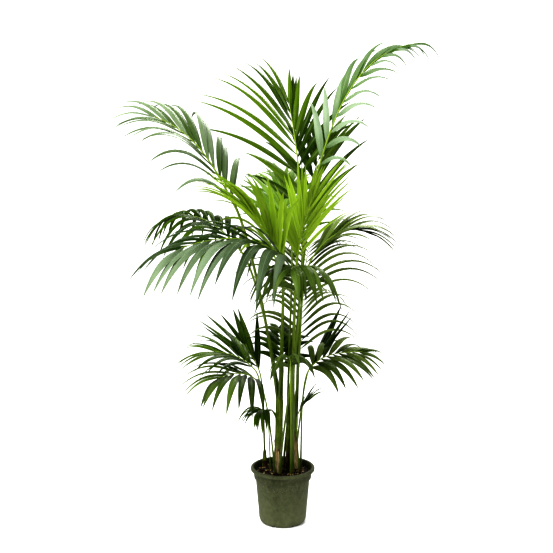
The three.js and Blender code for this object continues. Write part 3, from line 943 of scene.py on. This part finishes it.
# %% [markdown]
# The leaflets of the two sides don't stand opposite each other, so the two rows start at
# different shares of the gap between two leaflets. Each frond has its own seeded draw, so a
# change to one frond leaves the others as they are.

# %% All the leaflets
SEED = 11
LOWEST_SHARE = 0.03
HIGHEST_SHARE = 0.985
FIRST_GAP = {1: 0.25, -1: 0.6}
LAST_GAP = 0.2

for number, (name, frond) in enumerate(FRONDS.items()):
    rib, _ = curves[name]
    random = np.random.default_rng([SEED, number])
    blades = RingMesh()
    for hand in (1, -1):
        for pair in range(frond["pairs"]):
            along = (pair + FIRST_GAP[hand]) / (frond["pairs"] - LAST_GAP)
            share = min(HIGHEST_SHARE, mix(LOWEST_SHARE, 1, along))
            add_leaflet(blades, frond, rib, share, hand, random)
    blades.piece(f"leaflets_{name}", leaf_materials[frond["shade"]], [f"frond_{name}"])
print("leaflets", sum(2 * frond["pairs"] for frond in FRONDS.values()))

# %% [markdown]
# ## Stems and dry sheaths
# The short stems are not wood yet. Each is a bundle of old leaf bases pressed together, so it
# has a lobed outline with creases between the lobes. The bases are green where they are fresh
# and dry, tan or dark brown lower down, with torn papery edges. The stem is a ring mesh with
# upright fibres in relief, and the torn wraps are thin closed shells that stand off it.

# %% Sheath material
SHEATH_GREEN_DARK = (0.017, 0.032, 0.002)
SHEATH_GREEN_LIGHT = (0.150, 0.205, 0.020)
SHEATH_FIBRES = 480
SHEATH_STRETCH = (1, 1, 0.035)
SHEATH_BLOTCHES = 45
GREENING = 14


def sheath_material(name, dark, light, green=None):
    """green: the height in metres where the dry colour gives way to fresh green, if any."""
    material, flow = new_material(name)
    place = surface_place(flow)
    upright = surface_place(flow, SHEATH_STRETCH)
    fibres = cloudy(flow, upright, SHEATH_FIBRES, detail=5, roughness=0.65)
    blotches = cloudy(flow, place, SHEATH_BLOTCHES)
    share = (2.6 * fibres + 0.9 * blotches - 1.25).clamped()
    colour = blend_colours(flow, share, dark, light)
    if green is not None:
        dryness = mesh_value(flow, "dry")
        above = (height_of(flow, place) - green) * GREENING
        fresh = (above + 1.1 * blotches + 1.3 - 2.4 * dryness).clamped()
        lively = blend_colours(flow, share, SHEATH_GREEN_DARK, SHEATH_GREEN_LIGHT)
        colour = blend_colours(flow, fresh, colour, lively)
    rough = opaque(
        flow,
        colour=colour,
        roughness=0.62 + 0.25 * blotches,
        shine=0.2,
        normal=relief(flow, fibres, strength=0.7, distance=0.0012),
    )
    return finished(material, flow, rough)


TAN_DARK = (0.050, 0.034, 0.012)
TAN_LIGHT = (0.640, 0.490, 0.270)
BROWN_DARK = (0.009, 0.006, 0.003)
BROWN_LIGHT = (0.090, 0.052, 0.022)
SHEATHS = {
    "stem_front": (TAN_DARK, TAN_LIGHT, 0.262),
    "stem_right": (BROWN_DARK, BROWN_LIGHT, 0.335),
    "stem_side": (TAN_DARK, TAN_LIGHT, 0.300),
    "stem_back_left": (BROWN_DARK, BROWN_LIGHT, 0.225),
}
stem_materials = {name: sheath_material(name.replace("stem", "sheath"), *look)
                  for name, look in SHEATHS.items()}
print("stem finishes", len(stem_materials))

# %% [markdown]
# Seen from above, a bundle is three overlapping circles inside the stem's round outline. Each
# leaf base is told by the side that it faces, in degrees, and by how dry it is.

# %% The outline of a stem
BASE_SHARE = 0.6
FLARE = 2.5
FLARE_SHARE = 0.25
BUNDLES = {
    "stem_front": [(262, 0.6), (15, 0.0), (150, 0.1)],
    "stem_right": [(215, 0.1), (320, 1.3), (90, 0.9)],
    "stem_side": [(205, 0.0), (290, 0.25), (60, 0.5)],
    "stem_back_left": [(300, 0.25), (180, 0.2), (60, 0.9)],
}


def share_up_stem(stem, height):
    return (height - SOIL_LEVEL) / (stem["top"][2] - SOIL_LEVEL)


def stem_spot(stem, height):
    foot = np.array([*stem["foot"], SOIL_LEVEL], float)
    top = np.array(stem["top"], float)
    return foot + (top - foot) * np.asarray(share_up_stem(stem, height))[..., None]


def stem_radius(stem, height):
    share = share_up_stem(stem, height)
    flare = FLARE * np.maximum(0, 1 - share / FLARE_SHARE)
    return mix(stem["base"], stem["head"], share) + flare


def bundle_outline(angles, bases):
    """How far the outline of the bundle reaches at each angle, and how dry it is there."""
    offset = 1 - BASE_SHARE
    reaches = []
    for bearing, _ in bases:
        swing = angles - math.radians(bearing)
        inside = np.maximum(BASE_SHARE ** 2 - (offset * np.sin(swing)) ** 2, 0)
        reaches.append(offset * np.cos(swing) + np.sqrt(inside))
    nearest = np.argmax(reaches, axis=0)
    dry = np.array([dryness for _, dryness in bases])[nearest]
    return np.max(reaches, axis=0), dry


print("leaf bases", sum(len(bases) for bases in BUNDLES.values()))

# %% [markdown]
# The head of a stem is drawn in to a rounded end between the stalks that leave it. Fine fibres,
# broad grooves and the edge of one sheath that winds up round the others lie on the outline.

# %% Stem meshes
STEM_SIDES = 72
STEM_RINGS = 60
HEAD_ABOVE = 16
HEAD_BELOW = 14
HEAD_CLOSING = 0.55
FIBRE_COUNT = 19
FIBRE_DEPTH = 0.35
FIBRE_WANDER = 0.25
WANDER_HEIGHT = 41
GROOVE_COUNT = 7
GROOVE_DEPTH = 0.25
GROOVE_HEIGHT = 60
LAP_DEPTH = 0.9
LAP_HEIGHT = 150
RELIEF_SHARE = 0.6
STEM_DRAWS = 50


def stem_relief(angles, heights, starts):
    wander = FIBRE_WANDER * np.sin(heights / WANDER_HEIGHT + starts[0])
    fibres = FIBRE_DEPTH * np.sin(FIBRE_COUNT * (angles + wander) + starts[1])
    grooves = GROOVE_DEPTH * np.sin(GROOVE_COUNT * angles - heights / GROOVE_HEIGHT + starts[2])
    winding = (angles / (2 * np.pi) + heights / LAP_HEIGHT + starts[3]) % 1
    return RELIEF_SHARE * (fibres + grooves) + RELIEF_SHARE * LAP_DEPTH * (winding - 0.5)


def add_stem(collected, stem, bases, random):
    top = stem["top"][2]
    heights = np.linspace(SOIL_LEVEL, top + HEAD_ABOVE, STEM_RINGS)
    angles = ring_angles(STEM_SIDES)
    closing = np.clip((heights - top + HEAD_BELOW) / (HEAD_ABOVE + HEAD_BELOW), 0, 1)
    radii = stem_radius(stem, np.minimum(heights, top)) * (1 - HEAD_CLOSING * closing ** 2)
    outline, dry = bundle_outline(angles, bases)
    starts = random.uniform(0, 2 * np.pi, 4)
    size = radii[:, None] * outline + stem_relief(angles[None], heights[:, None], starts)
    spots = stem_spot(stem, heights)[:, None] + size[..., None] * outward(angles)
    collected.add(spots, dry=dry[None])


for number, (name, stem) in enumerate(STEMS.items()):
    wrapped = RingMesh()
    add_stem(wrapped, stem, BUNDLES[name], np.random.default_rng([SEED, STEM_DRAWS + number]))
    wrapped.piece(f"bark_{name}", stem_materials[name], [name])

# %% [markdown]
# A torn wrap is a sheet bent round the stem. Its lower edge hugs the stem, its upper edge is
# ragged and curls away, and it is less than a millimetre thick. A grid of points in two layers,
# with the rim joined, makes it a closed body. Each wrap has its lowest and highest point, the
# side that it faces and how far it turns round the stem, in degrees, and how much it curls.

# %% Torn wraps
WRAP_COLUMNS = 22
WRAP_ROWS = 16
WRAP_THICKNESS = 0.7
WRAP_CLEARANCE = 1.1
TEAR_DEPTH = 0.22
TEAR_ARCH = 0.5
TEAR_MOST = 0.75
CURL_LEAST = 0.5
RIPPLE_HEIGHT = 0.35
RIPPLE_COUNT = 11
WRAP_DRAWS = 60
WRAPS = {
    "tan": [
        dict(stem="stem_front", low=186, high=290, middle=266, turn=64, curl=4),
        dict(stem="stem_front", low=196, high=340, middle=95, turn=120, curl=3),
        dict(stem="stem_side", low=186, high=338, middle=268, turn=58, curl=3),
        dict(stem="stem_side", low=200, high=296, middle=90, turn=120, curl=3),
    ],
    "brown": [
        dict(stem="stem_right", low=186, high=318, middle=318, turn=100, curl=3),
        dict(stem="stem_right", low=190, high=300, middle=90, turn=120, curl=4),
        dict(stem="stem_back_left", low=186, high=220, middle=285, turn=110, curl=3),
    ],
}
WRAP_COLOURS = {"tan": (TAN_DARK, TAN_LIGHT), "brown": (BROWN_DARK, BROWN_LIGHT)}


def add_wrap(collected, wrap, random):
    stem = STEMS[wrap["stem"]]
    low = wrap["low"]
    columns = np.linspace(-0.5, 0.5, WRAP_COLUMNS)
    rows = np.linspace(0, 1, WRAP_ROWS)[:, None]
    angles = np.radians(wrap["middle"] + columns * wrap["turn"])
    ragged = random.uniform(0, 1, WRAP_COLUMNS) * TEAR_DEPTH + TEAR_ARCH * columns ** 2
    tops = mix(low, wrap["high"], 1 - np.clip(ragged, 0, TEAR_MOST))
    heights = low + rows * (tops - low)
    curls = wrap["curl"] * rows ** 3 * (CURL_LEAST + random.uniform(0, 1, WRAP_COLUMNS))
    ripples = RIPPLE_HEIGHT * np.sin(angles * RIPPLE_COUNT)
    outer_reach = stem_radius(stem, heights) + WRAP_CLEARANCE + curls + ripples
    middle = stem_spot(stem, heights)
    outer = middle + outer_reach[..., None] * outward(angles)
    inner = middle + (outer_reach - WRAP_THICKNESS)[..., None] * outward(angles)
    collected.add(np.concatenate([outer, inner[:, ::-1]], axis=1))


for number, (tone, wraps) in enumerate(WRAPS.items()):
    shells = RingMesh()
    random = np.random.default_rng([SEED, WRAP_DRAWS + number])
    for wrap in wraps:
        add_wrap(shells, wrap, random)
    paper = sheath_material(f"torn_sheath_{tone}", *WRAP_COLOURS[tone])
    shells.piece(f"torn_sheaths_{tone}", paper)

# %% [markdown]
# ## The bark mix
# Nursery mix is dark and damp, with chips of bark and bits of coir lying on it. The bed is a
# disc of rings that rise and fall a few millimetres. The chips are flattened lumps with uneven
# corners, scattered by a seeded draw and kept inside the pot's wall.

# %% Soil material
SOIL_GRAINS = 190
SOIL_CRUMBS = 150
SOIL_STOPS = [
    (0.0, (0.005, 0.004, 0.002)),
    (0.4, (0.028, 0.018, 0.008)),
    (0.75, (0.130, 0.088, 0.040)),
    (1.0, (0.330, 0.245, 0.125)),
]


def soil_material(name, light_share):
    material, flow = new_material(name)
    place = surface_place(flow)
    grains = cloudy(flow, place, SOIL_GRAINS, detail=6, roughness=0.7)
    cells = {"Vector": place, "Scale": SOIL_CRUMBS}
    crumbs = flow.node("ShaderNodeTexVoronoi", {}, cells, output="Color")
    crumbs = flow.node("ShaderNodeSeparateColor", {}, {"Color": crumbs}, output="Red")
    tone = mesh_value(flow, "tone")
    share = (light_share * tone * tone + 0.5 * grains * crumbs - 0.05).clamped()
    damp = opaque(
        flow,
        colour=flow.node("ShaderNodeValToRGB", {"stops": SOIL_STOPS}, {"Fac": share}),
        roughness=0.66 + 0.25 * grains,
        shine=0.2,
        normal=relief(flow, grains, strength=0.8, distance=0.0025),
    )
    return finished(material, flow, damp)


print("soil colours", len(SOIL_STOPS))

# %% [markdown]
# Four crossing waves, from about 70 down to 13 millimetres long, keep the bed's hollows unlike
# each other. It sinks a little towards the pot, and a skirt carries it down inside the wall.

# %% Soil bed
BED_RADIUS = 104.5
BED_CENTRE = 1.5
BED_RINGS = 44
BED_SIDES = 120
BED_DEPTH = 60
BED_TONE = 0.35
BED_LIGHT = 0.5
SKIRT_RADIUS = 92
SKIRT_TUCK = 2
WAVE_HEIGHT = 1.7
EDGE_START = 70
EDGE_WIDTH = 35
EDGE_SINKING = 1.5


def bed_height(x, y):
    waves = (np.sin(x / 9 + 1.3) * np.cos(y / 11) + 0.6 * np.sin((x + y) / 5.2)
             + 0.5 * np.cos((x - 1.7 * y) / 4.1) + 0.35 * np.sin(x / 2.3) * np.sin(y / 2.6))
    edge = np.clip((np.hypot(x, y) - EDGE_START) / EDGE_WIDTH, 0, 1)
    return SOIL_LEVEL + WAVE_HEIGHT * waves - EDGE_SINKING * edge


bed = RingMesh()
bed_angles = ring_angles(BED_SIDES)
bed_rings = np.linspace(BED_RADIUS, BED_CENTRE, BED_RINGS)
bed_radii = np.concatenate([[SKIRT_RADIUS, BED_RADIUS - SKIRT_TUCK], bed_rings])
bed_x = bed_radii[:, None] * np.cos(bed_angles)
bed_y = bed_radii[:, None] * np.sin(bed_angles)
bed_z = bed_height(bed_x, bed_y)
bed_z[0] = SOIL_LEVEL - BED_DEPTH
bed_z[1] = SOIL_LEVEL - BED_DEPTH / 3
bed.add(np.stack([bed_x, bed_y, bed_z], 2), tone=BED_TONE)
bed.piece("bark_mix", soil_material("damp_mix", BED_LIGHT), ["soil"])

# %% Bark chips
CHIP_COUNT = 620
CHIP_SIDES = 6
CHIP_REACH = 99
CHIP_LIMIT = 100
CHIP_SIZES = (1.6, 6.5)
CHIP_LEAST = 1.2
CHIP_TILT = 0.28
CHIP_SEAT = 0.18
CHIP_WIDTH = 0.55
CHIP_THICKNESS = 0.28
CHIP_UNEVEN = (0.7, 1.15)
CHIP_RINGS = ((-1.0, 0.45), (-0.35, 1.0), (0.4, 0.9), (1.0, 0.4))
DARK_CHIPS = 1.6
CHIP_LIGHT = 1.4
CHIP_DRAWS = 70


def add_chip(collected, random):
    radius = CHIP_REACH * math.sqrt(random.uniform(0, 1))
    bearing = random.uniform(0, 2 * np.pi)
    x = radius * math.cos(bearing)
    y = radius * math.sin(bearing)
    size = random.uniform(*CHIP_SIZES)
    long_axis = unit(np.array([*random.normal(0, 1, 2), random.normal(0, CHIP_TILT)]))
    side_axis = unit(np.cross(long_axis, UP))
    up_axis = np.cross(side_axis, long_axis)
    centre = np.array([x, y, bed_height(x, y) + size * CHIP_SEAT])
    size = min(size, max(CHIP_LEAST, CHIP_LIMIT - radius))
    around = ring_angles(CHIP_SIDES)
    rings = []
    for step, bulge in CHIP_RINGS:
        wobble = random.uniform(*CHIP_UNEVEN, CHIP_SIDES)
        width = side_axis * (np.cos(around) * wobble * size * CHIP_WIDTH)[:, None]
        height = up_axis * (np.sin(around) * wobble * size * CHIP_THICKNESS)[:, None]
        rings.append(centre + long_axis * size * step + bulge * (width + height))
    collected.add(np.array(rings), tone=random.uniform(0, 1) ** DARK_CHIPS)


chips = RingMesh()
chip_random = np.random.default_rng([SEED, CHIP_DRAWS])
for _ in range(CHIP_COUNT):
    add_chip(chips, chip_random)
chips.piece("bark_chips", soil_material("bark_chip", CHIP_LIGHT))

# %% [markdown]
# ## The pot
# The pot is a thin moulded tub: a drafted wall, a step up to a slightly wider collar and a
# rolled rim, with drain notches moulded through the heel. A turned profile gives the tub, with
# the round edges written as arcs. It runs from the middle of the underside out and up to the
# rim, then down inside to the middle of the floor. Each small step in it is told from the radius
# of the part that it belongs to.

# %% The profile of the pot
POT_SIDES = 160
POT_HEIGHT = 210
POT_FOOT_RADIUS = 80
POT_HEEL_RADIUS = 88
POT_SHOULDER_RADIUS = 101
POT_COLLAR_RADIUS = 110
POT_RIM_RADIUS = 120
POT_HEEL_HEIGHT = 14
POT_SHOULDER_HEIGHT = 160
POT_WALL = 3
POT_FLOOR = 4
POT_CENTRE = 0.5
FOOT_RECESS = 1.2


def arc(centre_radius, centre_height, size, start, end, count):
    return [(centre_radius + size * math.cos(angle), centre_height + size * math.sin(angle))
            for angle in np.radians(np.linspace(start, end, count))]


def pot_profile():
    foot = POT_FOOT_RADIUS
    heel = POT_HEEL_RADIUS
    shoulder = POT_SHOULDER_RADIUS
    collar = POT_COLLAR_RADIUS
    rim = POT_RIM_RADIUS
    underside = [(POT_CENTRE, FOOT_RECESS), (foot - 9, FOOT_RECESS), (foot - 6, 0), (foot, 0)]
    heel_edge = [(foot + 4.2, 4.2), (heel - 0.6, 12), (heel + 0.4, 16)]
    wall = [(mix(heel, shoulder, share), mix(POT_HEEL_HEIGHT, POT_SHOULDER_HEIGHT, share))
            for share in (0.25, 0.5, 0.75)]
    step = [(shoulder - 0.1, 159), (shoulder + 0.9, 162.5), (collar - 6, 166)]
    step += arc(collar - 6, 169, 3, -70, 0, 5)
    collar_wall = [(collar - 1.6, 182), (collar - 0.8, 194), (rim - 9, 197.4), (rim - 2, 197.6)]
    rolled_rim = arc(rim - 2.4, 200, 2.4, -80, 0, 5)
    rolled_rim += arc(rim - 4.5, POT_HEIGHT - 4.5, 4.5, 10, 90, 7)
    rolled_rim += arc(rim - 8.5, POT_HEIGHT - 3, 3, 90, 180, 6)
    inside = [(collar - POT_WALL, 196), (collar - POT_WALL - 2, 184), (collar - POT_WALL - 4, 166)]
    inside += [(shoulder - POT_WALL, POT_SHOULDER_HEIGHT), (heel - POT_WALL, 18)]
    inside += [(foot - POT_WALL, POT_FLOOR), (POT_CENTRE, POT_FLOOR)]
    return underside + heel_edge + wall + step + collar_wall + rolled_rim + inside


def turned_rings(profile):
    angles = ring_angles(POT_SIDES)
    radius = np.array([spot[0] for spot in profile])[:, None]
    height = np.array([spot[1] for spot in profile])[:, None]
    x = radius * np.cos(angles)
    y = radius * np.sin(angles)
    return np.stack([x, y, np.broadcast_to(height, x.shape)], 2)


tub = RingMesh()
tub.add(turned_rings(pot_profile()))
print("pot profile", len(tub.points[0]) // POT_SIDES, "rings")

# %% [markdown]
# One Boolean cut with a ring of small blocks gives the drain notches, because their edges have
# to run cleanly through the heel. The blocks have cut corners, and reach from under the floor
# to beyond the heel.

# %% Drain notches
DRAIN_COUNT = 8
DRAIN_WIDTH = 14
DRAIN_HEIGHT = 7
DRAIN_CORNER = 2.5
BLOCK_BELOW = 2
BLOCK_INWARD = 14
BLOCK_OUTWARD = 16


def drain_blocks():
    blocks = RingMesh()
    half = DRAIN_WIDTH / 2
    corners = [(-half, -BLOCK_BELOW), (half, -BLOCK_BELOW), (half, DRAIN_HEIGHT - DRAIN_CORNER),
               (half - DRAIN_CORNER, DRAIN_HEIGHT), (DRAIN_CORNER - half, DRAIN_HEIGHT),
               (-half, DRAIN_HEIGHT - DRAIN_CORNER)]
    for notch in range(DRAIN_COUNT):
        angle = (notch + 0.5) / DRAIN_COUNT * 2 * np.pi
        out = np.array([math.cos(angle), math.sin(angle), 0])
        side = np.array([-math.sin(angle), math.cos(angle), 0])
        rings = [[out * reach + side * across + UP * height for across, height in corners]
                 for reach in (POT_FOOT_RADIUS - BLOCK_INWARD, POT_FOOT_RADIUS + BLOCK_OUTWARD)]
        blocks.add(np.array(rings))
    return blocks


tub_object = placed("tub_before_cut", tub.mesh("tub_before_cut"))
drain_object = placed("drain_cutters", drain_blocks().mesh("drain_cutters"))
cut = tub_object.modifiers.new("drains", "BOOLEAN")
cut.object = drain_object
cut.operation = "DIFFERENCE"
cut.solver = "EXACT"
shown = tub_object.evaluated_get(bpy.context.evaluated_depsgraph_get())
pot_mesh = bpy.data.meshes.new_from_object(shown)
bpy.data.objects.remove(tub_object)
bpy.data.objects.remove(drain_object)
print("drain notches", DRAIN_COUNT, "corners of the tub", len(pot_mesh.vertices))

# %% [markdown]
# The olive plastic is matt. Hard water leaves cloudy chalk on it and a band of dried splashes
# below the collar. It is painted paler towards the bottom, with a painted highlight along the
# rim's lip. Inside the notches, which open into the hollow under the floor, it is painted dark
# as shade.

# %% Pot material
POT_GREEN = (0.018, 0.022, 0.006)
POT_CHALKY = (0.130, 0.141, 0.078)
POT_DUST = (0.320, 0.330, 0.240)
# Painted shade for the faces inside the drain notches.
POT_NOTCH_SHADE = (0.002, 0.002, 0.001)
CHALK_CLOUDS = 11
CHALK_STRETCH = (1, 1, 0.5)
LOW_PALING = 5.5
# A painted highlight along the rim's lip starts at this height.
RIM_HIGHLIGHT_START = 0.196
RIM_HIGHLIGHT_GROWTH = 300
DUST_CLOUDS = 60
PLASTIC_GRAIN = 1400
SPLASH_SPECKS = 330
SPLASH_HEIGHT = 0.154
SPLASH_HALF_WIDTH = 0.02


# Painted shade: a mask of the faces inside the drain notches, which are painted near black.
def painted_notch_shade(flow, place, height):
    flat = flow.node("ShaderNodeVectorMath", {"operation": "MULTIPLY"}, {0: place, 1: (1, 1, 0)})
    reach = flow.node("ShaderNodeVectorMath", {"operation": "LENGTH"}, {0: flat}, output="Value")
    inward = (POT_FOOT_RADIUS - 0.5 - reach / MM).clamped()
    return inward * (DRAIN_HEIGHT + 1 - height / MM).clamped()


def pot_material():
    material, flow = new_material("olive_plastic")
    place = surface_place(flow)
    height = height_of(flow, place)
    tall = surface_place(flow, CHALK_STRETCH)
    clouds = cloudy(flow, tall, CHALK_CLOUDS, detail=5, roughness=0.6)
    dust = cloudy(flow, place, DUST_CLOUDS, detail=6, roughness=0.7)
    grain = cloudy(flow, place, PLASTIC_GRAIN, detail=2)
    # The plastic is made paler towards the bottom.
    low = (1 - LOW_PALING * height).clamped()
    # Painted highlight: the rim's lip is made paler.
    painted_rim_highlight = ((height - RIM_HIGHLIGHT_START) * RIM_HIGHLIGHT_GROWTH).clamped()
    share = (0.75 * clouds + 0.85 * dust + 0.45 * low + 0.16 * painted_rim_highlight - 0.57).clamped()
    colour = blend_colours(flow, share, POT_GREEN, POT_CHALKY)
    off = (height - SPLASH_HEIGHT) / SPLASH_HALF_WIDTH
    band = (1 - off * off).clamped()
    specks = (14 * cloudy(flow, place, SPLASH_SPECKS, detail=3) - 8.8).clamped()
    colour = blend_colours(flow, specks * (0.2 + 0.5 * band), colour, POT_DUST)
    matt = opaque(
        flow,
        colour=blend_colours(flow, painted_notch_shade(flow, place, height), colour, POT_NOTCH_SHADE),
        roughness=0.55 + 0.22 * dust,
        shine=0.18,
        normal=relief(flow, grain + 0.6 * dust, strength=0.16, distance=0.0006),
    )
    return finished(material, flow, matt)


finish_piece("pot_tub", pot_mesh, pot_material(), ["pot"])

# %% [markdown]
# ## The floor
# The plant stands on a plain pale floor that runs out to the white walls, so that the pot's
# soft contact shadow is all that shows of it. The floor lies half a millimetre under the pot,
# so the two faces don't share a plane.

# %% Floor
FLOOR_RADIUS = 2.6
FLOOR_SIDES = 128
FLOOR_LEVEL = -0.0005
FLOOR_CLOUDS = 3
FLOOR_PALE = (0.84, 0.84, 0.84)
FLOOR_PALER = (0.88, 0.88, 0.88)


def floor_material():
    material, flow = new_material("pale_floor")
    clouds = cloudy(flow, surface_place(flow), FLOOR_CLOUDS)
    colour = blend_colours(flow, clouds, FLOOR_PALE, FLOOR_PALER)
    chalk = flow.node("ShaderNodeBsdfPrincipled", {}, {"Base Color": colour, "Roughness": 0.8})
    return finished(material, flow, chalk)


floor_mesh = bpy.data.meshes.new("floor")
floor_edge = [(FLOOR_RADIUS * math.cos(angle), FLOOR_RADIUS * math.sin(angle), FLOOR_LEVEL)
              for angle in ring_angles(FLOOR_SIDES)]
floor_mesh.from_pydata(floor_edge, [], [tuple(range(FLOOR_SIDES))])
floor_mesh.materials.append(floor_material())
floor = placed("floor", floor_mesh)
print("floor", FLOOR_RADIUS, "m to its edge")
